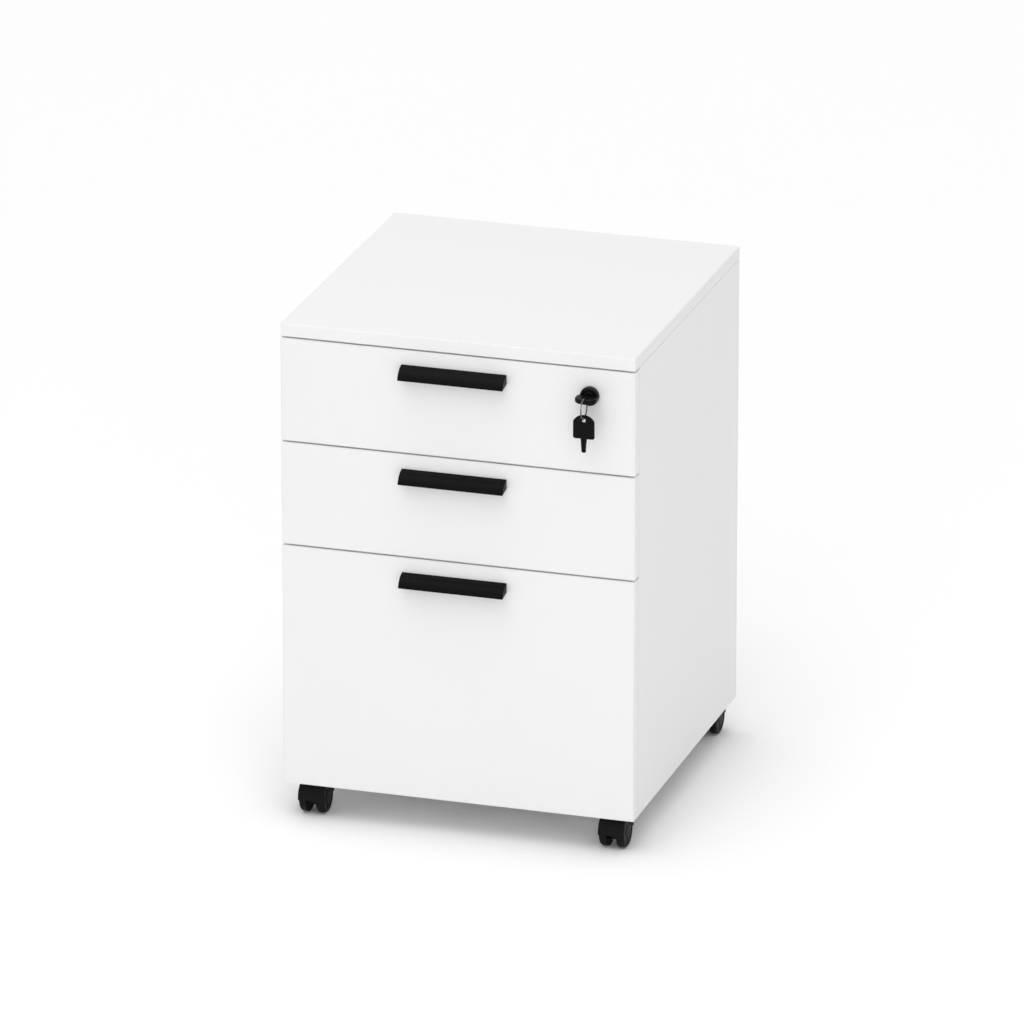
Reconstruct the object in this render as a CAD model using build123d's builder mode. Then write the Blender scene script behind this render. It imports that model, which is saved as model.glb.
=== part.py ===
"""Rolling pedestal cabinet: three drawers in a white board carcass on four twin-wheel casters.

Frame: millimetres, +Z up, origin on the floor under the middle of the carcass.
The drawer fronts face -Y. +X is the side that carries the lock.
"""
import os
from math import cos, radians, sin, sqrt

from build123d import *

os.makedirs("parts", exist_ok=True)

# ---- carcass ----
cabinet_width = 420.0
cabinet_depth = 420.0
cabinet_height = 600.0
board = 15.0                    # carcass boards
front_board = 16.0              # drawer fronts
edge_round = 0.8                # eased edge banding
floor_gap = 42.0                # floor to the lower edge of the carcass
bottom_rise = 10.0              # bottom panel sits this far above the side panels' lower edges
front_gap = 2.0                 # between neighbouring fronts, and between front and carcass

# ---- drawers ----
small_front_height = 123.0
box_board = 12.0
box_bottom = 6.0
box_length = 360.0
small_box_height = 68.0
file_box_height = 216.0
box_rise = 12.0                 # box sides start this far above the front's lower edge
file_box_rise = 32.0
bottom_lift = 2.0               # drawer bottom above the lower edge of the box sides

# ---- runners ----
runner_space = 13.0             # between drawer box and side panel
runner_length = 350.0
runner_setback = 2.0            # behind the carcass front edge
steel = 1.2
cabinet_member_height = 45.0
middle_member_height = 35.0
drawer_member_height = 24.0
cabinet_member_reach = 10.0
middle_member_near = 4.0        # distances from the side panel
middle_member_far = 10.0
drawer_member_near = 7.0

# ---- handles ----
handle_length = 124.6
handle_shift = -3.6             # handle's middle from the front's middle
handle_drop = 17.1              # front's top edge to handle's top edge
handle_reach = 16.5
handle_height = 14.4
handle_end_round = 0.6
handle_bulge = (11.2, 5.0)      # a point of the outer curve: out from the front, down from the top
handle_cavity_top = 3.0
handle_cavity_bulge = (9.9, 7.2)
handle_mouth = 0.5              # the cavity is cut this far past the lower edge
handle_wall = 2.2
handle_flange = 2.5
handle_flange_height = 11.7
handle_screw_spacing = 96.0
handle_screw_drop = 6.0
screw_radius = 1.9
screw_clearance = 0.2
screw_boss_wall = 1.6
screw_boss_end = 1.0            # plastic past the end of the screw hole
screw_end_gap = 0.5
screw_head_radius = 4.0
screw_head_thickness = 2.2

# ---- casters ----
wheel_radius = 19.5
wheel_width = 9.5
wheel_gap = 11.5
caster_trail = 14.0
caster_inset_x = 29.5           # side panel's outer face to the swivel axis
caster_front_inset = 42.0       # front face to the front swivel axes
caster_rear_inset = 29.0
hood_inner_radius = 20.0
hood_outer_radius = 20.6
hood_lift = 0.8                 # outer circle above the axle, so the hood thins towards its ends
hood_half_width = 15.25
hood_skirt = 1.0                # hood reaches this far below the axle
web_half_width = 5.2
web_radius = 11.5
axle_radius = 3.0
axle_half_length = 13.0
axle_end_gap = 0.6
king_pin_radius = 3.5
king_pin_above_axle = 6.0
king_pin_end_gap = 0.5
collar_radius = 6.0
collar_gap = 0.5                # collar above the hood
flange_radius = 13.0
flange_thickness = 2.0
stem_radius = 4.0
stem_rise = 12.0                # thread in the bottom panel
stem_end_gap = 1.0
running_clearance = 0.06

# ---- lock and keys ----
lock_from_side = 52.8
lock_drop = 31.0                # front's top edge to the lock axis
rosette_radius = 11.0
rosette_proud = 6.5             # lock body in front of the drawer front
rosette_edge_round = 1.4
barrel_radius = 9.0
barrel_play = 0.1
barrel_behind_front = 4.0
plug_radius = 6.0
plug_proud = 7.5                # plug face in front of the drawer front
plug_edge_round = 0.6
keyway_play = 0.6
keyway_end_gap = 1.0
cam_radius = 8.5
cam_thickness = 2.4
cam_gap = 0.3                   # behind the barrel
crank_radius = 6.0              # lock axis to the crank pin
crank_pin_radius = 2.0
crank_angle = 45.0              # crank pin above the horizontal while unlocked
crank_pin_past_arm = 1.0
key_bow_start = 8.5             # in front of the drawer front
key_bow_width = 25.0
key_bow_round = 2.5
key_blade_width = 7.2           # at the shoulder
key_tip_width = 4.8
key_blade_thickness = 2.0
key_blade_length = 16.5
key_bridge = 3.4                # bow material outside the ring hole
grip_thickness = 5.0            # key in the lock: short thick grip
grip_length = 18.0
grip_hole_length = 10.4
grip_hole_width = 6.5
spare_thickness = 2.6           # spare key: long flat bow
spare_length = 28.0
spare_hole_length = 5.4
spare_hole_width = 4.6
ring_radius = 11.75
ring_wire = 0.75
ring_play = 0.3

# ---- central locking bar ----
bar_depth = 9.2                 # along Y
bar_thickness = 5.2             # along X
groove_play = 0.4
catch_behind_bar = 0.1          # bar to the catch's tooth
bar_front = -185.6
arm_thickness = 3.0
arm_height = 11.5
bar_pin_radius = 2.5
bar_pin_reach = 10.0            # into the runner space
bar_past_pin = 8.0              # bar's lower end below its lowest pin
arm_past_slot = 4.0
slot_play = 0.4
guide_height = 12.0
guide_width = 22.0
guide_above_pin = 20.0
guide_set_back = 4.0            # strap's middle behind the bar's middle
catch_thickness = 2.0
catch_tooth_reach = 9.0
catch_length = 22.0
catch_height = 11.5
catch_below_pin = 1.5

half_width = cabinet_width / 2
half_depth = cabinet_depth / 2
face_y = -half_depth                                  # outer face of the drawer fronts
front_back_y = face_y + front_board
carcass_front_y = front_back_y + front_gap
top_underside = cabinet_height - board
inner_half_width = half_width - board
box_half_width = inner_half_width - runner_space
bottom_underside = floor_gap + bottom_rise

upper_low = top_underside - front_gap - small_front_height
middle_low = upper_low - front_gap - small_front_height
file_front_height = middle_low - front_gap - floor_gap

# each drawer: name, low edge of the front, its height, rise and height of the box,
# runner centre above the box's low edge, and the locking pin's rest height above that centre
drawers = [
    ("upper", upper_low, small_front_height, box_rise, small_box_height, 34.0, 40.0),
    ("middle", middle_low, small_front_height, box_rise, small_box_height, 34.0, 40.0),
    ("file", floor_gap, file_front_height, file_box_rise, file_box_height, 76.0, 40.0),
]

lock_x = half_width - lock_from_side
lock_z = upper_low + small_front_height - lock_drop


def save(part, name):
    """Label a finished piece and write it to its own file."""
    part.label = name
    export_step(part, f"parts/{name}.step")


def panel(x_limits, y_limits, z_limits, rounding=edge_round):
    """A flat board between its low and high limits, with eased edges."""
    with BuildPart() as flat:
        with BuildSketch(Plane.XY.offset(z_limits[0])):
            with Locations((sum(x_limits) / 2, sum(y_limits) / 2)):
                Rectangle(x_limits[1] - x_limits[0], y_limits[1] - y_limits[0])
        extrude(amount=z_limits[1] - z_limits[0])
        if rounding:
            fillet(flat.edges(), rounding)
    return flat.part


# ---------------------------------------------------------------- carcass panels
save(
    panel((-half_width, half_width), (face_y, half_depth), (top_underside, cabinet_height)),
    "top_panel",
)
save(
    panel((-half_width, -inner_half_width), (carcass_front_y, half_depth), (floor_gap, top_underside)),
    "left_side_panel",
)
save(
    panel((-inner_half_width, inner_half_width), (half_depth - board, half_depth), (floor_gap, top_underside)),
    "back_panel",
)

# the right side panel has a groove down its inner face for the locking bar
bar_back = bar_front + bar_depth
with BuildPart() as right_side_panel:
    with BuildSketch(Plane.XY.offset(floor_gap)):
        with Locations((half_width - board / 2, (carcass_front_y + half_depth) / 2)):
            Rectangle(board, half_depth - carcass_front_y)
    extrude(amount=top_underside - floor_gap)
    fillet(right_side_panel.edges(), edge_round)
    with BuildSketch(Plane.XY.offset(bottom_underside + board)):
        with Locations((inner_half_width, (bar_front + bar_back) / 2)):
            Rectangle(2 * (bar_thickness + 2 * groove_play), bar_depth + 2 * groove_play)
    extrude(amount=top_underside - bottom_underside - board, mode=Mode.SUBTRACT)
save(right_side_panel.part, "right_side_panel")

# swivel axes of the casters: name, x, y, and the way from the axle to the swivel axis
casters = [
    ("front_left", -half_width + caster_inset_x, face_y + caster_front_inset, 1),
    ("front_right", half_width - caster_inset_x, face_y + caster_front_inset, 1),
    ("rear_left", -half_width + caster_inset_x, half_depth - caster_rear_inset, -1),
    ("rear_right", half_width - caster_inset_x, half_depth - caster_rear_inset, -1),
]
stem_places = [(x, y) for name, x, y, way in casters]

with BuildPart() as bottom_panel:
    with BuildSketch(Plane.XY.offset(bottom_underside)):
        with Locations((0, (carcass_front_y + half_depth - board) / 2)):
            Rectangle(2 * inner_half_width, half_depth - board - carcass_front_y)
    extrude(amount=board)
    fillet(bottom_panel.edges().group_by(Axis.Y)[0], edge_round)
    with BuildSketch(Plane.XY.offset(bottom_underside)):
        with Locations(*stem_places):
            Circle(stem_radius + running_clearance)
    extrude(amount=stem_rise + stem_end_gap, mode=Mode.SUBTRACT)
save(bottom_panel.part, "bottom_panel")

# ---------------------------------------------------------------- casters
axle_z = wheel_radius
hood_rise = hood_lift + hood_outer_radius
hood_top = axle_z + hood_rise
pin_bottom = axle_z + king_pin_above_axle

# one turned steel stem per caster: thread, flange, collar and king pin
with BuildPart() as caster_stems:
    for start, end, radius in [
        (pin_bottom, hood_top + collar_gap, king_pin_radius),
        (hood_top + collar_gap, bottom_underside - flange_thickness, collar_radius),
        (bottom_underside - flange_thickness, bottom_underside, flange_radius),
        (bottom_underside, bottom_underside + stem_rise, stem_radius),
    ]:
        with BuildSketch(Plane.XY.offset(start)):
            with Locations(*stem_places):
                Circle(radius)
        extrude(amount=end - start)
save(caster_stems.part, "caster_stems")


def caster_hood(x, y, way):
    """Moulded body: a web between the wheels, a hood over them and a socket for the king pin."""
    axle_y = y - way * caster_trail
    side = Plane(origin=(x, axle_y, axle_z), x_dir=(0, way, 0), z_dir=(way, 0, 0))
    reach = caster_trail + web_half_width
    cut = 2 * hood_outer_radius + 2     # square that trims the circles from below
    with BuildPart() as hood:
        with BuildSketch(side):
            Circle(web_radius)
        extrude(amount=web_half_width, both=True)
        with BuildSketch(side):
            with Locations((0, hood_lift)):
                Circle(hood_outer_radius)
            with Locations((0, -cut / 2)):
                Rectangle(cut, cut, mode=Mode.SUBTRACT)
            with Locations((reach / 2, hood_rise / 2)):
                Rectangle(reach, hood_rise)
        extrude(amount=web_half_width, both=True)
        with BuildSketch(side):
            with Locations((0, hood_lift)):
                Circle(hood_outer_radius)
            Circle(hood_inner_radius, mode=Mode.SUBTRACT)
            with Locations((0, -cut / 2 - hood_skirt)):
                Rectangle(cut, cut, mode=Mode.SUBTRACT)
        extrude(amount=hood_half_width, both=True)
        with BuildSketch(Plane.XY.offset(pin_bottom - king_pin_end_gap)):
            with Locations((x, y)):
                Circle(king_pin_radius + running_clearance)
        extrude(amount=hood_top, mode=Mode.SUBTRACT)
        with BuildSketch(side):
            Circle(axle_radius)
        extrude(amount=hood_half_width, both=True, mode=Mode.SUBTRACT)
    return hood.part


def caster_axle(x, y, way):
    """Plain steel pin held in the web."""
    with BuildPart() as axle:
        with BuildSketch(Plane.YZ.offset(x)):
            with Locations((y - way * caster_trail, axle_z)):
                Circle(axle_radius)
        extrude(amount=axle_half_length, both=True)
    return axle.part


def caster_wheel(x, y, way, side):
    """Moulded wheel: rounded tread, a dished outer face and a blind bore for the axle."""
    inner = wheel_gap / 2
    outer = inner + wheel_width
    bore = axle_radius + running_clearance
    bore_end = axle_half_length + axle_end_gap
    tread_round = 1.4
    dish_inner, dish_outer, dish_depth = 6.5, 15.0, 1.2
    lining_inner, lining_outer, lining_depth = 7.5, 16.0, 3.0
    section = [
        (inner, bore), (inner, lining_inner),
        (inner + lining_depth, lining_inner), (inner + lining_depth, lining_outer),
        (inner, lining_outer), (inner, wheel_radius), (outer, wheel_radius),
        (outer, dish_outer), (outer - dish_depth, dish_outer - dish_depth),
        (outer - dish_depth, dish_inner), (outer, dish_inner - dish_depth / 2),
        (outer, 0), (bore_end, 0), (bore_end, bore),
    ]
    across = Plane(
        origin=(x, y - way * caster_trail, axle_z), x_dir=(side, 0, 0), z_dir=(0, 1, 0)
    )
    with BuildPart() as wheel:
        with BuildSketch(across) as outline:
            with BuildLine():
                Polyline(*section, close=True)
            make_face()
            rim = [v for v in outline.vertices() if abs(v.Y) > wheel_radius - 0.01]
            fillet(rim, tread_round)
        revolve(axis=Axis((x, y - way * caster_trail, axle_z), (1, 0, 0)))
    return wheel.part


for name, x, y, way in casters:
    save(caster_hood(x, y, way), f"caster_hood_{name}")
    save(caster_axle(x, y, way), f"caster_axle_{name}")
    save(caster_wheel(x, y, way, -1), f"wheel_{name}_a")
    save(caster_wheel(x, y, way, 1), f"wheel_{name}_b")

# ---------------------------------------------------------------- runners
runner_front = carcass_front_y + runner_setback


def channel_pair(z, height, near, far, web_near):
    """Two folded steel channels, one at each side, in the space beside a drawer box.

    near and far are distances from the side panel; web_near says which of them the web is at.
    """
    with BuildPart() as pair:
        for side in (-1, 1):
            with BuildSketch(Plane.XZ.offset(-runner_front)):
                middle = side * (inner_half_width - (near + far) / 2)
                with Locations((middle, z)):
                    Rectangle(far - near, height)
                hollow = far - near - steel
                shift = steel / 2 if web_near else -steel / 2
                with Locations((middle - side * shift, z)):
                    Rectangle(hollow, height - 2 * steel, mode=Mode.SUBTRACT)
            extrude(amount=-runner_length)
    return pair.part


runner_heights = {
    name: low + rise + runner_rise
    for name, low, height, rise, box_height, runner_rise, pin_rise in drawers
}
# the three cabinet members of each side are alike and fixed, so they share one group
with BuildPart() as cabinet_runner_members:
    for name in runner_heights:
        add(channel_pair(runner_heights[name], cabinet_member_height, 0, cabinet_member_reach, True))
save(cabinet_runner_members.part, "cabinet_runner_members")

for name, z in runner_heights.items():
    middle = channel_pair(z, middle_member_height, middle_member_near, middle_member_far, True)
    save(middle, f"{name}_middle_runners")
    moving = channel_pair(z, drawer_member_height, drawer_member_near, runner_space, False)
    save(moving, f"{name}_drawer_runners")

# ---------------------------------------------------------------- drawers
handle_plane = Plane(origin=(handle_shift, face_y, 0), x_dir=(0, -1, 0), z_dir=(-1, 0, 0))


def drawer_handle(top_z):
    """Hooded pull: a curved hood with closed ends and a flange that lies on the front."""
    lip_in = handle_reach - handle_wall
    cavity_top = top_z - handle_cavity_top
    mouth = top_z - handle_height - handle_mouth
    with BuildPart() as handle:
        with BuildSketch(handle_plane):
            with BuildLine():
                ThreePointArc(
                    (0, top_z),
                    (handle_bulge[0], top_z - handle_bulge[1]),
                    (handle_reach, top_z - handle_height),
                )
                Polyline(
                    (handle_reach, top_z - handle_height),
                    (lip_in, top_z - handle_height),
                    (0, top_z - handle_flange_height),
                    (0, top_z),
                )
            make_face()
        extrude(amount=handle_length / 2, both=True)
        ends = handle.faces().filter_by(Axis.X)
        curved = [e for face in ends for e in face.edges().filter_by(GeomType.CIRCLE)]
        fillet(curved, handle_end_round)
        with BuildSketch(handle_plane):
            with BuildLine():
                ThreePointArc(
                    (handle_flange, cavity_top),
                    (handle_cavity_bulge[0], top_z - handle_cavity_bulge[1]),
                    (lip_in, mouth),
                )
                Polyline((lip_in, mouth), (handle_flange, mouth), (handle_flange, cavity_top))
            make_face()
        extrude(amount=handle_length / 2 - handle_wall, both=True, mode=Mode.SUBTRACT)
        screw_line = Plane.XZ.offset(-face_y)
        with BuildSketch(screw_line):
            with Locations((handle_shift, top_z - handle_screw_drop)):
                with GridLocations(handle_screw_spacing, 1, 2, 1):
                    Circle(screw_radius + screw_boss_wall)
        extrude(amount=handle_reach / 2)
        with BuildSketch(screw_line):
            with Locations((handle_shift, top_z - handle_screw_drop)):
                with GridLocations(handle_screw_spacing, 1, 2, 1):
                    Circle(screw_radius)
        extrude(amount=handle_reach / 2 - screw_boss_end, mode=Mode.SUBTRACT)
    return handle.part


def handle_screws(top_z):
    """Two pan-head screws, put in from inside the drawer."""
    engaged = handle_reach / 2 - screw_boss_end - screw_end_gap
    with BuildPart() as screws:
        for start, length, radius in [
            (face_y - engaged, front_board + engaged, screw_radius),
            (front_back_y, screw_head_thickness, screw_head_radius),
        ]:
            with BuildSketch(Plane.XZ.offset(-start)):
                with Locations((handle_shift, top_z - handle_screw_drop)):
                    with GridLocations(handle_screw_spacing, 1, 2, 1):
                        Circle(radius)
            extrude(amount=-length)
    return screws.part


def drawer_front(low, height, top_z, with_lock):
    """Front board with its two screw holes, and the lock hole in the upper one."""
    with BuildPart() as front:
        with BuildSketch(Plane.XZ.offset(-face_y)):
            with Locations((0, low + height / 2)):
                Rectangle(cabinet_width, height)
        extrude(amount=-front_board)
        fillet(front.edges(), edge_round)
        with BuildSketch(Plane.XZ.offset(-face_y)):
            with Locations((handle_shift, top_z - handle_screw_drop)):
                with GridLocations(handle_screw_spacing, 1, 2, 1):
                    Circle(screw_radius + screw_clearance)
            if with_lock:
                with Locations((lock_x, lock_z)):
                    Circle(barrel_radius + barrel_play)
        extrude(amount=-front_board, mode=Mode.SUBTRACT)
    return front.part


def lock_catch(pin_z):
    """Folded steel catch screwed to the right box side; the locking pin drops in front of its tooth."""
    tooth_top = pin_z - bar_pin_radius - catch_below_pin
    tooth_low = tooth_top - catch_height
    tooth_front = bar_back + catch_behind_bar
    with BuildPart() as catch:
        with BuildSketch(Plane.XY.offset(tooth_low)):
            with Locations((box_half_width, tooth_front)):
                Rectangle(catch_thickness, catch_length, align=(Align.MIN, Align.MIN))
                Rectangle(catch_tooth_reach, catch_thickness, align=(Align.MIN, Align.MIN))
        extrude(amount=tooth_top - tooth_low)
    return catch.part


for name, low, height, rise, box_height, runner_rise, pin_rise in drawers:
    handle_top = low + height - handle_drop
    box_low = low + rise
    box_high = box_low + box_height
    box_back = front_back_y + box_length
    save(drawer_front(low, height, handle_top, name == "upper"), f"{name}_front")
    save(drawer_handle(handle_top), f"{name}_handle")
    save(handle_screws(handle_top), f"{name}_handle_screws")
    with BuildPart() as box_sides:
        with BuildSketch(Plane.XY.offset(box_low)):
            for side in (-1, 1):
                with Locations((side * (box_half_width - box_board / 2), front_back_y + box_length / 2)):
                    Rectangle(box_board, box_length)
        extrude(amount=box_height)
        fillet(box_sides.edges().group_by(Axis.Z)[-1].filter_by(Axis.Y), edge_round)
    save(box_sides.part, f"{name}_box_sides")
    inside = box_half_width - box_board
    save(
        panel((-inside, inside), (box_back - box_board, box_back), (box_low, box_high), 0),
        f"{name}_box_back",
    )
    bottom_low = box_low + bottom_lift
    save(
        panel((-inside, inside), (front_back_y, box_back - box_board), (bottom_low, bottom_low + box_bottom), 0),
        f"{name}_box_bottom",
    )
    save(lock_catch(runner_heights[name] + pin_rise), f"{name}_lock_catch")

# ---------------------------------------------------------------- lock
barrel_end = front_back_y + barrel_behind_front

with BuildPart() as lock_housing:
    with BuildSketch(Plane.XZ.offset(-face_y)):
        with Locations((lock_x, lock_z)):
            Circle(rosette_radius)
    extrude(amount=rosette_proud)
    fillet(lock_housing.faces().sort_by(Axis.Y)[0].edges(), rosette_edge_round)
    with BuildSketch(Plane.XZ.offset(-face_y)):
        with Locations((lock_x, lock_z)):
            Circle(barrel_radius)
    extrude(amount=face_y - barrel_end)
    with BuildSketch(Plane.XZ.offset(-barrel_end)):
        with Locations((lock_x, lock_z)):
            Circle(plug_radius + running_clearance)
    extrude(amount=barrel_end - face_y + rosette_proud, mode=Mode.SUBTRACT)
save(lock_housing.part, "lock_housing")

plug_front = face_y - plug_proud
cam_front = barrel_end + cam_gap
crank_x = lock_x + crank_radius * cos(radians(crank_angle))
crank_z = lock_z + crank_radius * sin(radians(crank_angle))
arm_front = bar_front
with BuildPart() as lock_plug:
    with BuildSketch(Plane.XZ.offset(-plug_front)):
        with Locations((lock_x, lock_z)):
            Circle(plug_radius)
    extrude(amount=plug_front - cam_front)
    fillet(lock_plug.faces().sort_by(Axis.Y)[0].edges(), plug_edge_round)
    with BuildSketch(Plane.XZ.offset(-cam_front)):
        with Locations((lock_x, lock_z)):
            Circle(cam_radius)
    extrude(amount=-cam_thickness)
    with BuildSketch(Plane.XZ.offset(-cam_front - cam_thickness)):
        with Locations((crank_x, crank_z)):
            Circle(crank_pin_radius)
    extrude(amount=-(arm_front + arm_thickness + crank_pin_past_arm - cam_front - cam_thickness))
    with BuildSketch(Plane.XZ.offset(-plug_front)):
        with Locations((lock_x, lock_z)):
            Rectangle(key_blade_width + keyway_play, key_blade_thickness + keyway_play)
    keyway_depth = key_blade_length - (key_bow_start - plug_proud) + keyway_end_gap
    extrude(amount=-keyway_depth, mode=Mode.SUBTRACT)
save(lock_plug.part, "lock_plug")

# ---------------------------------------------------------------- keys and ring
def key_shape(plane, length, thickness, hole_length, hole_width):
    """Key with a moulded bow: flat shoulder, domed end, ring hole, centre rib and a tapered blade.

    In the plane, +y runs from the shoulder to the bow's domed end, and the shoulder is at y = 0.
    """
    dome = 7.5
    half = key_bow_width / 2
    hole_centre = length - key_bridge - hole_length / 2
    rib_end = hole_centre - hole_length / 2 - 2
    rib_width, rib_proud = 8.0, 0.4
    tip_round = 1.6
    groove_width, groove_depth = 1.4, 0.6
    root = 0.5                      # blade starts inside the bow
    with BuildPart() as key:
        with BuildSketch(plane) as bow:
            with BuildLine():
                Polyline((-half, length - dome), (-half, 0), (half, 0), (half, length - dome))
                ThreePointArc((half, length - dome), (0, length), (-half, length - dome))
            make_face()
            fillet(bow.vertices(), key_bow_round)
        extrude(amount=thickness / 2, both=True)
        fillet(key.edges(), 0.5)
        if rib_end > rib_width / 2:
            with BuildSketch(plane):
                with Locations((0, rib_end / 2)):
                    RectangleRounded(rib_width, rib_end, 1.5)
            extrude(amount=thickness / 2 + rib_proud, both=True)
        with BuildSketch(plane):
            with Locations((0, hole_centre)):
                SlotOverall(hole_length, hole_width, rotation=90)
        extrude(amount=thickness, both=True, mode=Mode.SUBTRACT)
        with BuildSketch(plane) as blade:
            with BuildLine():
                Polyline(
                    (-key_blade_width / 2, root), (key_blade_width / 2, root),
                    (key_tip_width / 2, -key_blade_length), (-key_tip_width / 2, -key_blade_length),
                    close=True,
                )
            make_face()
            tip = [v for v in blade.vertices() if plane.to_local_coords(v).Y < -key_blade_length + 0.01]
            fillet(tip, tip_round)
        extrude(amount=key_blade_thickness / 2, both=True)
        with BuildSketch(plane.offset(key_blade_thickness / 2)):
            with Locations((0, -key_blade_length / 2)):
                Rectangle(groove_width, key_blade_length)
        extrude(amount=-groove_depth, mode=Mode.SUBTRACT)
    return key.part


# the key in the lock lies flat, its bow pointing out of the cabinet
bow_shoulder_y = face_y - key_bow_start
key_plane = Plane(origin=(lock_x, bow_shoulder_y, lock_z), x_dir=(-1, 0, 0), z_dir=(0, 0, 1))
save(key_shape(key_plane, grip_length, grip_thickness, grip_hole_length, grip_hole_width), "key")

# the ring hangs over the bow's bridge
bow_end_y = bow_shoulder_y - grip_length
ring_y = bow_end_y + key_bridge / 2
ring_inner = ring_radius - ring_wire
bridge_corner = sqrt((ring_inner - ring_play) ** 2 - (key_bridge / 2) ** 2)
ring_z = lock_z + grip_thickness / 2 - bridge_corner
with BuildPart() as key_ring:
    with BuildSketch(Plane(origin=(lock_x, ring_y, ring_z), x_dir=(0, 1, 0), z_dir=(0, 0, -1))):
        with Locations((ring_radius, 0)):
            Circle(ring_wire)
    revolve(axis=Axis((lock_x, ring_y, ring_z), (1, 0, 0)))
save(key_ring.part, "key_ring")

# the spare key hangs from the ring with its face to the front
ring_low_z = ring_z - ring_radius
spare_end_z = ring_low_z + ring_wire + ring_play + key_bridge
spare_plane = Plane(
    origin=(lock_x, ring_y, spare_end_z - spare_length), x_dir=(1, 0, 0), z_dir=(0, -1, 0)
)
save(
    key_shape(spare_plane, spare_length, spare_thickness, spare_hole_length, spare_hole_width),
    "spare_key",
)

# ---------------------------------------------------------------- central locking bar
bar_inner_x = inner_half_width + groove_play
pin_heights = [runner_heights[name] + pin_rise for name, *rest, pin_rise in drawers]
bar_low = min(pin_heights) - bar_past_pin
arm_low = crank_z - arm_height / 2
bar_high = arm_low + arm_height

with BuildPart() as lock_bar:
    with BuildSketch(Plane.XY.offset(bar_low)):
        with Locations((bar_inner_x, bar_front)):
            Rectangle(bar_thickness, bar_depth, align=(Align.MIN, Align.MIN))
    extrude(amount=bar_high - bar_low)
save(lock_bar.part, "lock_bar")

slot_low_x = crank_x - crank_pin_radius - slot_play
slot_high_x = lock_x + crank_radius + crank_pin_radius + slot_play
arm_end_x = slot_low_x - arm_past_slot
with BuildPart() as lock_bar_arm:
    with BuildSketch(Plane.XZ.offset(-arm_front)):
        with Locations((arm_end_x, arm_low)):
            Rectangle(bar_inner_x - arm_end_x, arm_height, align=(Align.MIN, Align.MIN))
        with Locations(((slot_low_x + slot_high_x) / 2, crank_z)):
            Rectangle(
                slot_high_x - slot_low_x, 2 * (crank_pin_radius + slot_play), mode=Mode.SUBTRACT
            )
    extrude(amount=-arm_thickness)
save(lock_bar_arm.part, "lock_bar_arm")

with BuildPart() as lock_bar_pins:
    for z in pin_heights:
        with BuildSketch(Plane.YZ.offset(bar_inner_x)):
            with Locations((bar_front + bar_depth / 2, z)):
                Circle(bar_pin_radius)
        extrude(amount=-bar_pin_reach)
save(lock_bar_pins.part, "lock_bar_pins")

# two thin straps keep the bar in its groove
with BuildPart() as lock_bar_guides:
    for z in pin_heights[1:]:
        with BuildSketch(Plane.XY.offset(z + guide_above_pin)):
            with Locations((inner_half_width - steel / 2, (bar_front + bar_back) / 2 + guide_set_back)):
                Rectangle(steel, guide_width)
        extrude(amount=guide_height)
save(lock_bar_guides.part, "lock_bar_guides")
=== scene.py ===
import math

import bpy
import numpy as np
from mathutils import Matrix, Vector


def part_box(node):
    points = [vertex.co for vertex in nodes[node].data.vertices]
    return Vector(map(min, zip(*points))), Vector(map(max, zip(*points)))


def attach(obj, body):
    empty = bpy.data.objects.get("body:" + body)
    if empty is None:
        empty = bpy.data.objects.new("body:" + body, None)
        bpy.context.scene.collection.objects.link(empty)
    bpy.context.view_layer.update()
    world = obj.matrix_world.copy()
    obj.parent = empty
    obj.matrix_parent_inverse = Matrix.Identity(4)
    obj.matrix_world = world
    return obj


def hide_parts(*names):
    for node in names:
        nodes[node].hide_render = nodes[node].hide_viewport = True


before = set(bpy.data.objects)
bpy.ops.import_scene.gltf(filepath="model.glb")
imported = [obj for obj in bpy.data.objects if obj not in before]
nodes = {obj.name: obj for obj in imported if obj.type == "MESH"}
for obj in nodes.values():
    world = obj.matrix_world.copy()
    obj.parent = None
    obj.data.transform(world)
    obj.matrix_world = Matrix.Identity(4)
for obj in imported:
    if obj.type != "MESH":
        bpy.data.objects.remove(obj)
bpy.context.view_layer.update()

mm = 0.001

# the carcass gives every other place
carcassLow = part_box("left_side_panel")[0].z
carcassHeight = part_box("top_panel")[1].z - carcassLow
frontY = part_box("file_front")[0].y
drawerNames = ("upper", "middle", "file")
casterNames = ("front_left", "front_right", "rear_left", "rear_right")
print("frame loaded:", len(nodes), "nodes")

# camera: long lens, seen from the front, turned a little to the right side and from above
camera = {
    "azimuth": 17.34,      # degrees to the right of straight ahead
    "elevation": 19.94,    # degrees above the floor
    "distance": 21.33,     # in carcass heights
    "aimUp": 0.473,        # in carcass heights, along the view's upright
    "aimRight": -0.001,
    "lens": 359.6,         # mm
    "sensor": 36,          # mm
    "farEnd": 100,         # metres, beyond the far end of the floor
}


def placeCamera(c):
    turn, rise = math.radians(c["azimuth"]), math.radians(c["elevation"])
    forward = Vector((-math.sin(turn) * math.cos(rise), math.cos(turn) * math.cos(rise), -math.sin(rise)))
    right = Vector((math.cos(turn), math.sin(turn), 0))
    upright = right.cross(forward)
    aim = Vector((0, 0, carcassLow)) + carcassHeight * (c["aimRight"] * right + c["aimUp"] * upright)
    data = bpy.data.cameras.new("camera")
    data.lens, data.sensor_width = c["lens"], c["sensor"]
    data.clip_end = c["farEnd"]
    lookFrom = bpy.data.objects.new("camera", data)
    lookFrom.location = aim - forward * (c["distance"] * carcassHeight)
    lookFrom.rotation_euler = forward.to_track_quat("-Z", "Y").to_euler()
    bpy.context.scene.collection.objects.link(lookFrom)
    bpy.context.scene.camera = lookFrom


placeCamera(camera)
print("camera placed")


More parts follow.
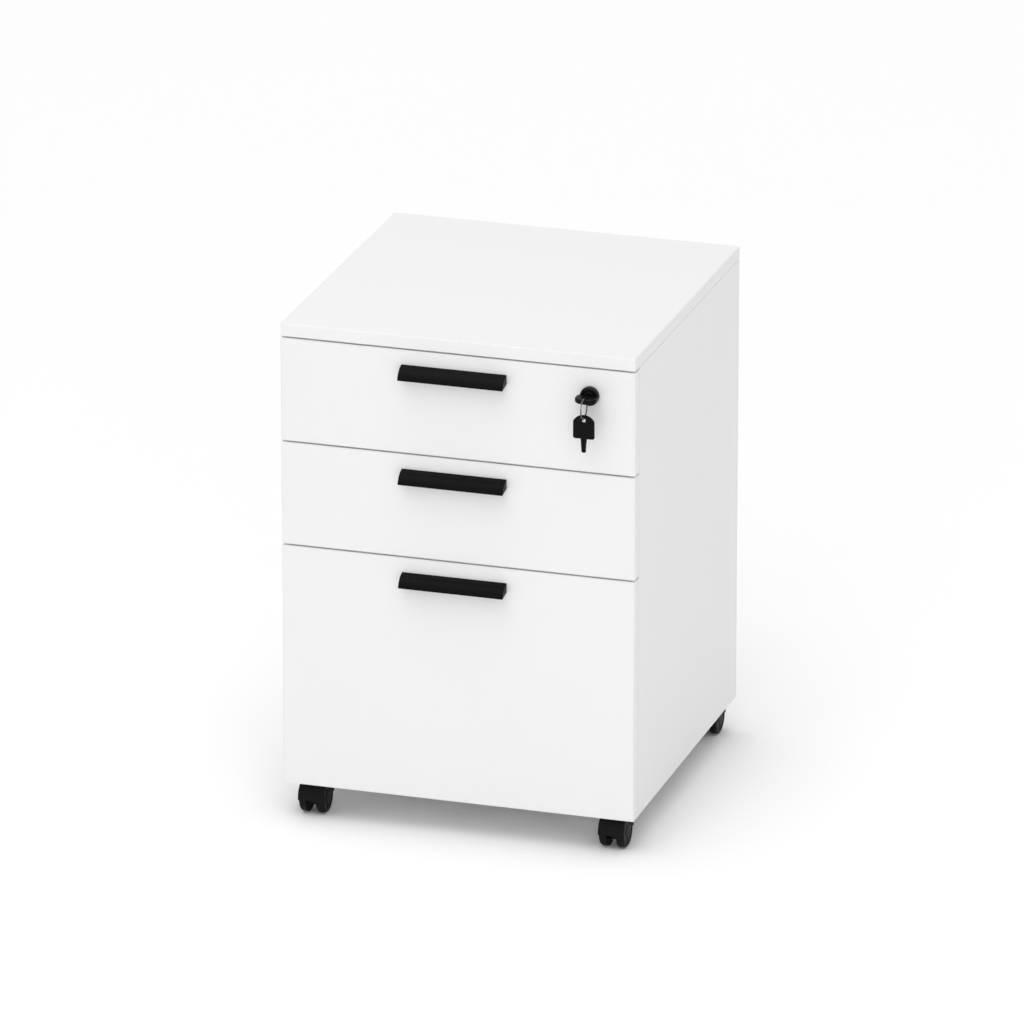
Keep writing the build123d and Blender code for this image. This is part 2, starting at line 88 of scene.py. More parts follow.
# colours are written as sRGB hex and used as linear values
def linear(hexColour):
    parts = [int(hexColour[i:i + 2], 16) / 255 for i in (1, 3, 5)]
    return tuple(p / 12.92 if p <= 0.04045 else ((p + 0.055) / 1.055) ** 2.4 for p in parts) + (1.0,)


# adds one node: settings are its own properties, inputs are numbers, colours or another node's output
def addNode(tree, kind, inputs=None, **settings):
    node = tree.nodes.new(kind)
    for name, value in settings.items():
        setattr(node, name, value)
    for name, value in (inputs or {}).items():
        if isinstance(value, bpy.types.NodeSocket):
            tree.links.new(value, node.inputs[name])
        else:
            node.inputs[name].default_value = value
    return node


# a material with its shader's own sockets set, and the place on the object that its patterns read
def newMaterial(name, **surface):
    material = bpy.data.materials.new(name)
    material.use_nodes = True
    tree = material.node_tree
    shader = tree.nodes["Principled BSDF"]
    for socket, value in surface.items():
        shader.inputs[socket.replace("_", " ")].default_value = value
    place = addNode(tree, "ShaderNodeTexCoord").outputs["Object"]
    return material, tree, shader, place


# light: an even white room, three wide soft suns, and two soft panels near the front
light = {
    "roomStrength": 0.412,
    "suns": {  # direction towards the light, strength, spread in degrees
        "overhead": ((0, 0, 1), 1.376, 70),
        "front": ((0.1, -0.8, 0.6), 0.697, 60),
        "behind left": ((-0.5, 0.5, 0.8), 0.135, 60),
    },
    "panels": {  # place, width, power
        "right panel": ((1.5, -1.9, 1.0), 1.4, 3.46),
        "top panel light": ((-0.3, -0.9, 2.0), 1.2, 2.7),
    },
    "aim": (0, 0, 0.3),
}
floorLook = {
    "size": 60.0,  # metres
    "colour": "#FCFCFC", "mottle": "#FBFBFB", "mottleScale": 1.5,  # the mottle is about 0.7 m wide
    "roughness": 0.9, "specular": 0.1,
}


def addLight(name, kind, away, **settings):
    data = bpy.data.lights.new(name, kind)
    for setting, value in settings.items():
        setattr(data, setting, value)
    lamp = bpy.data.objects.new(name, data)
    lamp.rotation_euler = Vector(away).to_track_quat("Z", "Y").to_euler()
    bpy.context.scene.collection.objects.link(lamp)
    return lamp


def lightRoom(s):
    world = bpy.data.worlds.new("room")
    bpy.context.scene.world = world
    world.use_nodes = True
    tree = world.node_tree
    seen = addNode(tree, "ShaderNodeLightPath").outputs["Is Camera Ray"]  # the far wall itself looks white
    strength = addNode(tree, "ShaderNodeMapRange",
                       {"Value": seen, "To Min": s["roomStrength"], "To Max": 1.0})
    ground = tree.nodes["Background"]
    ground.inputs["Color"].default_value = (1, 1, 1, 1)
    tree.links.new(strength.outputs["Result"], ground.inputs["Strength"])
    for name, (away, strength, spread) in s["suns"].items():
        addLight(name, "SUN", away, energy=strength, angle=math.radians(spread))
    for name, (place, width, power) in s["panels"].items():
        away = Vector(place) - Vector(s["aim"])
        lamp = addLight(name, "AREA", away, shape="SQUARE", size=width, energy=power)
        lamp.location = place


# painted studio floor: matt white with a faint mottle, which leaves only a soft shadow to be seen
def layFloor(s):
    paint, tree, shader, place = newMaterial("studio floor paint", Roughness=s["roughness"])
    shader.inputs["Specular IOR Level"].default_value = s["specular"]
    mottle = addNode(tree, "ShaderNodeTexNoise", {"Vector": place, "Scale": s["mottleScale"]})
    tone = addNode(tree, "ShaderNodeMix", {"Factor": mottle.outputs["Fac"], "A": linear(s["mottle"]),
                                           "B": linear(s["colour"])}, data_type="RGBA")
    tree.links.new(tone.outputs["Result"], shader.inputs["Base Color"])
    half = s["size"] / 2
    corners = [(-half, -half, 0), (half, -half, 0), (half, half, 0), (-half, half, 0)]
    mesh = bpy.data.meshes.new("floor")
    mesh.from_pydata(corners, [], [(0, 1, 2, 3)])
    mesh.materials.append(paint)
    floor = bpy.data.objects.new("floor", mesh)
    bpy.context.scene.collection.objects.link(floor)


lightRoom(light)
layFloor(floorLook)
bpy.context.scene.view_settings.view_transform = "Standard"
print("room lit")

# white melamine-faced chipboard: satin pearl finish with a 1 mm edge band whose seam just shows
melamine = {
    "face": "#F1F1F1", "faceShade": "#EFEFF0", "band": "#F0F0F0", "seam": "#E7E7E7",
    "bandWidth": 1.0, "seamWidth": 0.35,  # mm
    "pearl": 2.4,                         # mm; the real pearl is 0.6 mm, drawn coarser so that it shows
    "pearlDepth": 0.02,                   # mm
    "pearlStrength": 0.35,
    "cloud": 140.0,                       # mm, size of the faint tone changes
    "roughness": 0.42, "roughnessSpread": 0.04, "specular": 0.4,
}


def melamineBoard(node, thicknessAxis, look):
    low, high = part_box(node)
    centre, half = (low + high) / 2, (high - low) / 2
    band, seam = look["bandWidth"] * mm, look["seamWidth"] * mm
    material, tree, shader, place = newMaterial("melamine-faced board " + node)
    shader.inputs["Specular IOR Level"].default_value = look["specular"]
    # distance in from the board's outline, measured across its wide face
    off = addNode(tree, "ShaderNodeVectorMath", {0: place, 1: centre}, operation="SUBTRACT").outputs[0]
    out = addNode(tree, "ShaderNodeVectorMath", {0: off}, operation="ABSOLUTE").outputs[0]
    left = addNode(tree, "ShaderNodeVectorMath", {0: half, 1: out}, operation="SUBTRACT").outputs[0]
    axes = addNode(tree, "ShaderNodeSeparateXYZ", {0: left})
    across = [axes.outputs[i] for i in range(3) if i != thicknessAxis]
    inset = addNode(tree, "ShaderNodeMath", {0: across[0], 1: across[1]}, operation="MINIMUM").outputs[0]
    onSeam = addNode(tree, "ShaderNodeMath", {0: inset, 1: band, 2: seam}, operation="COMPARE").outputs[0]
    onBand = addNode(tree, "ShaderNodeMath", {0: inset, 1: band}, operation="LESS_THAN").outputs[0]
    cloud = addNode(tree, "ShaderNodeTexNoise",
                    {"Vector": place, "Scale": 1 / (look["cloud"] * mm), "Detail": 3}).outputs["Fac"]
    face = addNode(tree, "ShaderNodeMix", {"Factor": cloud, "A": linear(look["face"]),
                                           "B": linear(look["faceShade"])}, data_type="RGBA")
    banded = addNode(tree, "ShaderNodeMix", {"Factor": onBand, "A": face.outputs["Result"],
                                             "B": linear(look["band"])}, data_type="RGBA")
    seamed = addNode(tree, "ShaderNodeMix", {"Factor": onSeam, "A": banded.outputs["Result"],
                                             "B": linear(look["seam"])}, data_type="RGBA")
    tree.links.new(seamed.outputs["Result"], shader.inputs["Base Color"])
    gloss = addNode(tree, "ShaderNodeMapRange",
                    {"Value": cloud, "To Min": look["roughness"] - look["roughnessSpread"],
                     "To Max": look["roughness"] + look["roughnessSpread"]})
    tree.links.new(gloss.outputs["Result"], shader.inputs["Roughness"])
    pearl = addNode(tree, "ShaderNodeTexNoise",
                    {"Vector": place, "Scale": 1 / (look["pearl"] * mm), "Detail": 2}).outputs["Fac"]
    bump = addNode(tree, "ShaderNodeBump", {"Height": pearl, "Distance": look["pearlDepth"] * mm,
                                            "Strength": look["pearlStrength"]})
    tree.links.new(bump.outputs["Normal"], shader.inputs["Normal"])
    return material


def dress(node, material):
    mesh = nodes[node].data
    for index in range(max(1, len(mesh.materials))):
        if len(mesh.materials) <= index:
            mesh.materials.append(material)
        else:
            mesh.materials[index] = material


# each board's thickness runs along this axis: 0 is x, 1 is y, 2 is z
thickness = {"top_panel": 2, "left_side_panel": 0, "right_side_panel": 0, "back_panel": 1, "bottom_panel": 2}
thickness.update({drawer + "_front": 1 for drawer in drawerNames})
for node, axis in thickness.items():
    dress(node, melamineBoard(node, axis, melamine))

# light grey melamine board of the drawer boxes, a tone darker so that an open drawer shows its inside
boxBoard = dict(melamine, face="#D6D7D8", faceShade="#D2D3D5", band="#D4D5D7", seam="#BFC0C2",
                bandWidth=0.6)
boxThickness = {"_box_sides": 0, "_box_back": 1, "_box_bottom": 2}
for drawer in drawerNames:
    for board, axis in boxThickness.items():
        dress(drawer + board, melamineBoard(drawer + board, axis, boxBoard))
print("boards dressed")

mould = {
    "blotchScale": 60,  # tone patches of about 17 mm
    "roughnessSpread": 0.08,
    "sparkDepth": 0.03,  # mm
    "sparkStrength": 0.5,
    "ior": 1.5,
}


# black moulded plastic: spark-eroded mould texture, grain in mm, breaks up a soft, low gloss
def mouldedPlastic(name, colour, shade, grain, roughness, specular):
    material, tree, shader, place = newMaterial(name, IOR=mould["ior"])
    shader.inputs["Specular IOR Level"].default_value = specular
    blotch = addNode(tree, "ShaderNodeTexNoise",
                     {"Vector": place, "Scale": mould["blotchScale"], "Detail": 3})
    tone = addNode(tree, "ShaderNodeMix", {"Factor": blotch.outputs["Fac"], "A": linear(colour),
                                           "B": linear(shade)}, data_type="RGBA")
    tree.links.new(tone.outputs["Result"], shader.inputs["Base Color"])
    sparks = addNode(tree, "ShaderNodeTexNoise",
                     {"Vector": place, "Scale": 1 / (grain * mm), "Detail": 3}).outputs["Fac"]
    rough = addNode(tree, "ShaderNodeMapRange",
                    {"Value": sparks, "To Min": roughness - mould["roughnessSpread"],
                     "To Max": roughness + mould["roughnessSpread"]})
    tree.links.new(rough.outputs["Result"], shader.inputs["Roughness"])
    bump = addNode(tree, "ShaderNodeBump", {"Height": sparks, "Distance": mould["sparkDepth"] * mm,
                                            "Strength": mould["sparkStrength"]})
    tree.links.new(bump.outputs["Normal"], shader.inputs["Normal"])
    return material


plating = {
    "cloudScale": 35,   # plating clouds of about 29 mm
    "grainScale": 900,  # grain lines of about 1.1 mm
    "smoother": 0.07, "rougher": 0.1,
    "grainDepth": 0.01,  # mm
    "grainStrength": 0.3,
}


# plated steel: cloudy plating over a fine grain, drawn out along an axis where the sheet was rolled
def platedSteel(name, colour, shade, roughness, stretch=(1, 1, 1)):
    material, tree, shader, place = newMaterial(name, Metallic=1.0)
    drawn = addNode(tree, "ShaderNodeMapping", {"Vector": place, "Scale": stretch}).outputs["Vector"]
    grain = addNode(tree, "ShaderNodeTexNoise",
                    {"Vector": drawn, "Scale": plating["grainScale"], "Detail": 4}).outputs["Fac"]
    cloud = addNode(tree, "ShaderNodeTexNoise",
                    {"Vector": place, "Scale": plating["cloudScale"], "Detail": 2})
    tone = addNode(tree, "ShaderNodeMix", {"Factor": cloud.outputs["Fac"], "A": linear(colour),
                                           "B": linear(shade)}, data_type="RGBA")
    tree.links.new(tone.outputs["Result"], shader.inputs["Base Color"])
    rough = addNode(tree, "ShaderNodeMapRange",
                    {"Value": grain, "To Min": roughness - plating["smoother"],
                     "To Max": roughness + plating["rougher"]})
    tree.links.new(rough.outputs["Result"], shader.inputs["Roughness"])
    bump = addNode(tree, "ShaderNodeBump", {"Height": grain, "Distance": plating["grainDepth"] * mm,
                                            "Strength": plating["grainStrength"]})
    tree.links.new(bump.outputs["Normal"], shader.inputs["Normal"])
    return material


# the pulls and key bows glint least, the coated lock most; the caster nylon is dull from its coarse grain
handlePlastic = mouldedPlastic("black ABS pull", "#0A0A0B", "#0E0E0F", 0.5, 0.38, 0.07)
keyPlastic = mouldedPlastic("black ABS key bow", "#0A0A0B", "#0E0E0F", 0.45, 0.36, 0.09)
lockCoat = mouldedPlastic("black coated zinc", "#0A0A0B", "#0E0E10", 0.3, 0.28, 0.2)
casterNylon = mouldedPlastic("black nylon", "#0B0B0C", "#101011", 0.6, 0.5, 0.14)
# the rolled runners show lines along their length, the small parts an even shine, the wire a dark mirror
runnerZinc = platedSteel("zinc-plated runner steel", "#C3C6C8", "#AEB2B6", 0.3, stretch=(1, 0.04, 1))
brightZinc = platedSteel("bright zinc plating", "#BFC1C3", "#A5A8AC", 0.28)
nickelWire = platedSteel("nickel-plated wire", "#757472", "#62615F", 0.24)

for drawer in drawerNames:
    dress(drawer + "_handle", handlePlastic)
    dress(drawer + "_handle_screws", brightZinc)
    dress(drawer + "_lock_catch", brightZinc)
    dress(drawer + "_middle_runners", runnerZinc)
    dress(drawer + "_drawer_runners", runnerZinc)
dress("cabinet_runner_members", runnerZinc)
for caster in casterNames:
    dress("caster_hood_" + caster, casterNylon)
    dress("caster_axle_" + caster, brightZinc)
    dress("wheel_" + caster + "_a", casterNylon)
    dress("wheel_" + caster + "_b", casterNylon)
for node in ("caster_stems", "lock_bar", "lock_bar_arm", "lock_bar_pins", "lock_bar_guides"):
    dress(node, brightZinc)
dress("lock_housing", lockCoat)
dress("lock_plug", lockCoat)
dress("key", keyPlastic)
dress("spare_key", keyPlastic)
dress("key_ring", nickelWire)
print("frame dressed")


# rings is an array (rings, points, 3) in metres: a grid of four-sided faces joins each ring to the next,
# and the surface either closes on itself or ends in two fans round the middles of its end rings
def closedSurface(rings, loop=False):
    count, around = rings.shape[:2]
    points = rings.reshape(-1, 3)
    step = np.arange(around)
    following = (step + 1) % around
    here = np.arange(count if loop else count - 1)[:, None] * around
    there = (here + around) % (count * around)
    quads = np.stack([here + step, here + following, there + following, there + step], axis=-1)
    quads = quads.reshape(-1, 4)
    fans = np.empty((0, 3), int)
    if not loop:
        points = np.vstack([points, rings[0].mean(axis=0), rings[-1].mean(axis=0)])
        firstMiddle, lastMiddle, last = len(points) - 2, len(points) - 1, (count - 1) * around
        fans = np.vstack([np.column_stack([np.full(around, firstMiddle), following, step]),
                          np.column_stack([np.full(around, lastMiddle), last + step, last + following])])
    # the tetrahedra to the origin add up to six times the volume; below zero, the faces look inwards
    triangles = np.vstack([quads[:, [0, 1, 2]], quads[:, [0, 2, 3]], fans])
    a, b, c = points[triangles].transpose(1, 0, 2)
    faces = quads.tolist() + fans.tolist()
    return points, faces if np.sum(a * np.cross(b, c)) > 0 else [face[::-1] for face in faces]


# one mesh of several closed surfaces; edges sharper than creaseAngle, in degrees, stay crisp
def makePiece(name, body, nodeNames, material, surfaces, creaseAngle=32):
    points, faces = [], []
    for surfacePoints, surfaceFaces in surfaces:
        start = len(points)
        points.extend(surfacePoints.tolist())
        faces.extend([start + i for i in face] for face in surfaceFaces)
    mesh = bpy.data.meshes.new(name)
    mesh.from_pydata(points, [], faces)
    mesh.materials.append(material)
    mesh.shade_smooth()
    mesh.set_sharp_from_angle(angle=math.radians(creaseAngle))
    piece = bpy.data.objects.new(name, mesh)
    bpy.context.scene.collection.objects.link(piece)
    for node in nodeNames:
        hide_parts(node)
    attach(piece, body)


# quarter turn of an edge rounding: (how far in from the side, how far down from the top) at each step
def quarter(radius, steps=4):
    angles = np.linspace(0, math.pi / 2, steps)
    return [(radius * (1 - math.sin(a)), radius * (1 - math.cos(a))) for a in angles]


# quadratic curve from a to c, pulled towards b
def bezier(a, b, c, steps):
    t = np.linspace(0, 1, steps)[:, None]
    return (1 - t) ** 2 * np.array(a) + 2 * t * (1 - t) * np.array(b) + t ** 2 * np.array(c)


# pulls; points are (out from the front, down from the pull's top) in mm
pull = {
    "wall": 2.2, "flange": 2.5, "flangeHeight": 11.7, "edge": 0.3,
    "ledgeStart": (2.7, 0.45), "ledge": (3.2, 0.75), "bulge": (13.2, 3.5), "faceSteps": 20,
    "lipRound": 0.5, "lipDepth": 1.5, "draft": 0.1,
    "cavityTop": 3.0, "cavityBulge": (11.6, 4.6), "cavityCorner": 0.8, "cavitySteps": 16,
    "flangeFoot": ((0, -0.2), (-0.3, 0.1)),  # from the corner of flange and flangeHeight
    "footBevel": 0.2,
    "endRound": 0.5, "middleDepth": 8.0,     # the ends are rounded towards a middle this far in
    "cornerRound": 1.6, "cornerStart": 0.35, "cornerSteps": 6,  # the hollow's ends; the start is in radians
    "stations": 14, "creaseAngle": 24,
}


# section of a pull, carried along x: narrow ledge, curved face and lip outside, hollow and flange inside
def pullSurface(low, high, s):
    reach, height = (high.y - low.y) / mm, (high.z - low.z) / mm
    edge, flange, foot = s["edge"], s["flange"], s["flangeHeight"]
    lipIn = reach - s["wall"]
    lipCut = s["lipRound"] * 0.3  # the middle of the lip's rounding
    face = bezier(s["ledge"], s["bulge"], (reach, height - s["lipRound"]), s["faceSteps"])
    skin = np.vstack([[(0, edge), (edge, 0), s["ledgeStart"]], face,
                      [(reach - lipCut, height - lipCut), (reach - s["lipRound"], height),
                       (lipIn + edge, height)]])
    roof = bezier((lipIn - s["draft"], height - s["lipDepth"]), s["cavityBulge"],
                  (flange + s["cavityCorner"], s["cavityTop"]), s["cavitySteps"])
    hollow = np.vstack([[(lipIn, height - edge)], roof, [(flange, s["cavityTop"] + s["cavityCorner"])],
                        np.array((flange, foot)) + s["flangeFoot"]])
    back = np.array([(s["footBevel"], foot), (0, foot - edge)])
    # across the solid ends the hollow's points lie on the straight underside instead
    t = np.linspace(0, 1, len(hollow))[:, None]
    underside = hollow[0] + t * (hollow[-1] - hollow[0])
    middle = np.vstack([skin, back]).mean(axis=0)

    def station(x, openness, inset):
        section = np.vstack([skin, underside + openness * (hollow - underside), back])
        section = section + (middle - section) * (inset / s["middleDepth"])
        out, down = section.T * mm
        return np.column_stack([np.full(len(section), x), high.y - out, high.z - down])

    inner = low.x + s["wall"] * mm
    near = [station(low.x + side * mm, 0, down) for side, down in quarter(s["endRound"])[::-1]]
    near += [station(inner, 0, 0)]
    near += [station(inner + s["cornerRound"] * mm * (1 - math.cos(a)), math.sin(a), 0)
             for a in np.linspace(s["cornerStart"], math.pi / 2, s["cornerSteps"])]
    far = [np.column_stack([low.x + high.x - ring[:, 0], ring[:, 1:]]) for ring in near[::-1]]
    places = np.linspace(near[-1][0, 0], far[0][0, 0], s["stations"])[1:-1]
    return closedSurface(np.array(near + [station(x, 1, 0) for x in places] + far))


for drawer in drawerNames:
    makePiece(drawer + "_pull", drawer + "_drawer", [drawer + "_handle"], handlePlastic,
              [pullSurface(*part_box(drawer + "_handle"), pull)], creaseAngle=pull["creaseAngle"])
print("pulls made")


# turned piece: each profile point (along the axis, radius), in mm, goes once round the axis through centre;
# lift moves points along the axis, in mm, by profile point and angle
def turned(profile, centre, axis, around, loop=False, lift=0.0):
    axis = Vector(axis).normalized()
    first = axis.orthogonal().normalized()
    second = np.array(axis.cross(first))
    angles = np.linspace(0, 2 * math.pi, around, endpoint=False)[:, None]
    along, radius = np.array(profile, float).T[:, :, None]
    spokes = np.cos(angles) * np.array(first) + np.sin(angles) * second
    rings = (along + lift)[..., None] * np.array(axis) + radius[..., None] * spokes
    return closedSurface(np.array(centre) + rings * mm, loop)


# lock body; lengths in mm, those along its axis measured outwards from the drawer front's face
lockBody = {
    "bore": 6.08, "barrel": 9.0, "collar": 11.0,  # radii
    "rim": 1.5, "rimSteps": 7,
    "step": 8.3, "stepDepth": 0.6, "stepLip": 0.2, "stepBevel": 0.15,  # recess round the plug
    "barrelBevel": 0.5, "bevel": 0.3,
    "threadDepth": 0.25, "threadPitch": 0.8, "threadHalf": 0.4,
    "threadIn": 1.0,       # from the barrel's rear end
    "threadEnd": -16.5, "barrelPlain": -16.2,
    "around": 72,
}


# proud collar with a rounded rim, a stepped recess round the plug, and the threaded barrel behind
def lockSurface(low, high, s):
    front, rear = (frontY - low.y) / mm, (frontY - high.y) / mm
    bore, barrel, collar, floor = s["bore"], s["barrel"], s["collar"], front - s["stepDepth"]
    profile = [(rear, bore), (rear, barrel - s["barrelBevel"]), (rear + s["barrelBevel"], barrel)]
    for ridge in np.arange(rear + s["threadIn"], s["threadEnd"], s["threadPitch"]):
        profile += [(ridge, barrel), (ridge + s["threadHalf"], barrel - s["threadDepth"])]
    profile += [(s["barrelPlain"], barrel), (0, barrel), (0, collar - s["bevel"]), (s["bevel"], collar)]
    profile += [(front - down, collar - side) for side, down in quarter(s["rim"], s["rimSteps"])[::-1]]
    profile += [(front, s["step"] + s["stepLip"]), (front - s["stepBevel"], s["step"]),
                (floor, s["step"] - s["stepBevel"]), (floor, bore + s["bevel"]), (floor - s["bevel"], bore)]
    centre = ((low.x + high.x) / 2, frontY, (low.z + high.z) / 2)
    return turned(profile, centre, (0, -1, 0), s["around"], loop=True)


makePiece("lock_body", "upper_drawer", ["lock_housing"], lockCoat,
          [lockSurface(*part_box("lock_housing"), lockBody)])
print("lock body made")

# wheels, in mm; lengths along the axle are from the wheel's inner face, or down from its outer face
wheelLook = {
    "hubCap": ((0.35, 0.8), (0.3, 2.2), (0.15, 4.2), (0, 5.2), (0.1, 5.9)),  # (down from the face, radius)
    "dishIn": 6.9, "dishOut": 14.4, "dishDepth": 0.7,
    "dishRim": ((0.1, 0.7), (0, 1.1)),  # (down from the face, out from the dish)
    "shoulder": 3.0, "shoulderSteps": 8, "flat": 0.1, "innerRound": 0.7,
    "grooves": (0.62, 0.4),             # places as a share of the wheel's width
    "grooveDepth": 0.25, "grooveHalf": 0.5, "grooveFloorHalf": 0.2,
    "innerDish": (7.4, 7.8, 15.8, 16.2), "innerDishDepth": 0.8,  # radii
    "bore": 3.06, "boreBevel": 0.3, "boreDepth": 7.85, "boreMiddle": 0.5,
    "ribs": 5, "ribFrom": 0.86,         # a rib is where the cosine of five times the angle passes this
    "ribHeight": 0.9,                   # as a share of the dish's depth
    "around": 90,
}


# wheel: thin grooves round the tread, a large outer shoulder, a dish with five ribs and a domed hub cap
def wheelSurface(low, high, way, s):
    centre = (low + high) / 2
    radius = (high.z - low.z) / 2 / mm
    outer = abs(high.x - low.x) / mm
    profile = [(outer - down, r) for down, r in s["hubCap"]]
    dish = slice(len(profile), len(profile) + 3)
    profile += [(outer - s["dishDepth"], r) for r in np.linspace(s["dishIn"], s["dishOut"], 3)]
    profile += [(outer - down, s["dishOut"] + out) for down, out in s["dishRim"]]
    profile += [(outer, radius - s["shoulder"] - s["flat"])]
    shoulder = quarter(s["shoulder"], s["shoulderSteps"])
    profile += [(outer - down, radius - side) for side, down in shoulder]
    floor, half, floorHalf = radius - s["grooveDepth"], s["grooveHalf"], s["grooveFloorHalf"]
    for place in s["grooves"]:
        at = outer * place
        profile += [(at + half, radius), (at + floorHalf, floor)]
        profile += [(at - floorHalf, floor), (at - half, radius)]
    profile += [(down, radius - side) for side, down in quarter(s["innerRound"])[::-1]]
    dishDown = (0, s["innerDishDepth"], s["innerDishDepth"], 0)
    profile += list(zip(dishDown, s["innerDish"][::-1]))
    profile += [(0, s["bore"] + s["boreBevel"]), (s["boreBevel"], s["bore"]), (s["boreDepth"], s["bore"]),
                (s["boreDepth"], s["boreMiddle"])]
    # the ribs fill the dish again, to a soft ridge
    wave = np.cos(s["ribs"] * np.linspace(0, 2 * math.pi, s["around"], endpoint=False))
    ribs = np.zeros((len(profile), s["around"]))
    ribs[dish] = s["ribHeight"] * s["dishDepth"] * np.clip((wave - s["ribFrom"]) / (1 - s["ribFrom"]), 0, 1)
    inner = low.x if way > 0 else high.x
    return turned(profile, (inner, centre.y, centre.z), (way, 0, 0), s["around"], lift=ribs)


for caster in casterNames:
    for letter, way in (("a", -1), ("b", 1)):
        node = "wheel_" + caster + "_" + letter
        makePiece("twin_" + node, node, [node], casterNylon,
                  [wheelSurface(*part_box(node), way, wheelLook)])
print("wheels made")

# keys, in mm
keyLook = {
    "halfWidth": 12.5, "dome": 7.5, "corner": 2.5, "edge": 0.5,  # bow
    "bridge": 3.4,       # left between the hole and the top of the dome
    "holeShape": 2.6,    # 2 is an ellipse, more is squarer
    "blade": 16.5, "bladeIn": 0.5, "bladeThick": 2.0, "bladeWide": 7.2, "tipWide": 4.8, "bevel": 0.2,
    "tip": 1.6, "tipRound": 1.5, "tipAngles": (0.2, 1.5),        # the angles are in radians
    "cutDepth": 0.7, "cutRate": 1.9, "cutFrom": 3.0,             # the rate is in radians per mm
    "grooveDepth": 0.5, "grooveHalf": 0.7, "grooveFloorHalf": 0.55,
    "bladeSteps": 40, "tipSteps": 6, "creaseAngle": 38,
}
ribLook = {
    "halfWidth": 4.0, "corner": 1.8, "dome": 1.2,
    "below": 2.0,        # left between the hole and the rib
    "shortest": 4.0,     # a bow with less room has no rib
    "steps": ((0.0, -0.4), (0.0, 0.0), (0.12, 0.2), (0.35, 0.33), (0.7, 0.36)),  # (in, up from the bow)
}
lockKeyHole = {"halfWidth": 3.25, "halfLength": 5.2}
spareKeyHole = {"halfWidth": 2.3, "halfLength": 2.7}
spareThickness = 2.6


# outline of a bow as arcs joined by straight sides, inset by some distance; y runs from shoulder to dome
def bowOutline(length, inset, s):
    corner, dome = s["corner"], s["dome"]
    big = (s["halfWidth"] ** 2 + dome ** 2) / (2 * dome)
    side = s["halfWidth"] - corner
    join = length - big + math.sqrt((big - corner) ** 2 - side ** 2)
    lean = math.degrees(math.atan2(join - (length - big), side))
    arcs = [  # centre x and y, radius, first and last angle in degrees, points
        (-side, corner, corner, 180, 270, 8), (side, corner, corner, 270, 360, 8),
        (side, join, corner, 0, lean, 6), (0, length - big, big, lean, 180 - lean, 24),
        (-side, join, corner, 180 - lean, 180, 6)]
    outline = []
    for x, y, radius, start, end, steps in arcs:
        angles = np.radians(np.linspace(start, end, steps))
        outline.append(np.column_stack([x + (radius - inset) * np.cos(angles),
                                        y + (radius - inset) * np.sin(angles)]))
    return np.vstack(outline)


# oval hole, |x/a|^p + |y/b|^p = 1, with a point in the direction of each point of the bow's outline
def holeOutline(outline, centre, hole, grow, power):
    angles = np.arctan2(outline[:, 1] - centre, outline[:, 0])
    reach = (np.abs(np.cos(angles) / (hole["halfWidth"] + grow)) ** power
             + np.abs(np.sin(angles) / (hole["halfLength"] + grow)) ** power) ** (-1 / power)
    return np.column_stack([reach * np.cos(angles), centre + reach * np.sin(angles)])


# blade: sections from the bow to a rounded tip, with a groove in one side and waved cuts along one edge
def bladeSurface(toWorld, s):
    tipStart = s["tip"] - s["blade"]
    angles = np.linspace(*s["tipAngles"], s["tipSteps"])
    y = np.concatenate([np.linspace(s["bladeIn"], tipStart, s["bladeSteps"]),
                        -s["blade"] + s["tip"] * (1 - np.sin(angles))])
    wide = (s["bladeWide"] + np.clip(-y / s["blade"], 0, 1) * (s["tipWide"] - s["bladeWide"])) / 2
    past = np.clip((tipStart - y) / s["tip"], 0, 1)
    wide = wide - s["tipRound"] * (1 - np.sqrt(1 - past ** 2))
    isCut = (-y > s["cutFrom"]) & (y > tipStart)
    edge = wide - s["cutDepth"] * np.clip(np.sin(y * s["cutRate"]), 0, None) * isCut
    thick, bevel = s["bladeThick"] / 2, s["bevel"]
    groove, floor = s["grooveHalf"] + 0 * y, s["grooveFloorHalf"] + 0 * y
    x = [bevel - wide, edge - bevel, edge, edge, edge - bevel, groove, floor, -floor, -groove,
         bevel - wide, -wide, -wide]
    z = [-thick, -thick, bevel - thick, thick - bevel, thick, thick, thick - s["grooveDepth"],
         thick - s["grooveDepth"], thick, thick, thick - bevel, bevel - thick]
    return closedSurface(toWorld(*np.broadcast_arrays(np.stack(x, axis=1), y[:, None], z)))


# key: a flat bow with rounded edges round its outline and its hole, a raised rib on both faces, the blade
def keySurfaces(toWorld, length, thickness, hole, s):
    half = thickness / 2
    holeCentre = length - s["bridge"] - hole["halfLength"]
    plain = bowOutline(length, 0, s)

    def ring(outline, height):
        return toWorld(outline[:, 0], outline[:, 1], np.full(len(outline), height))

    rounding = quarter(s["edge"])
    bow = [(bowOutline(length, side, s), down) for side, down in rounding]
    inside = [(holeOutline(plain, holeCentre, hole, side, s["holeShape"]), down) for side, down in rounding]
    rings = [ring(outline, half - down) for outline, down in bow]
    rings += [ring(outline, down - half) for outline, down in bow[::-1] + inside]
    rings += [ring(outline, half - down) for outline, down in inside[::-1]]
    surfaces = [closedSurface(np.array(rings), loop=True)]
    ribLength = holeCentre - hole["halfLength"] - ribLook["below"]
    if ribLength > ribLook["shortest"]:
        for way in (1, -1):
            pad = [ring(bowOutline(ribLength, inset, ribLook), way * (half + up))
                   for inset, up in ribLook["steps"]]
            surfaces.append(closedSurface(np.array(pad)))
    return surfaces + [bladeSurface(toWorld, s)]


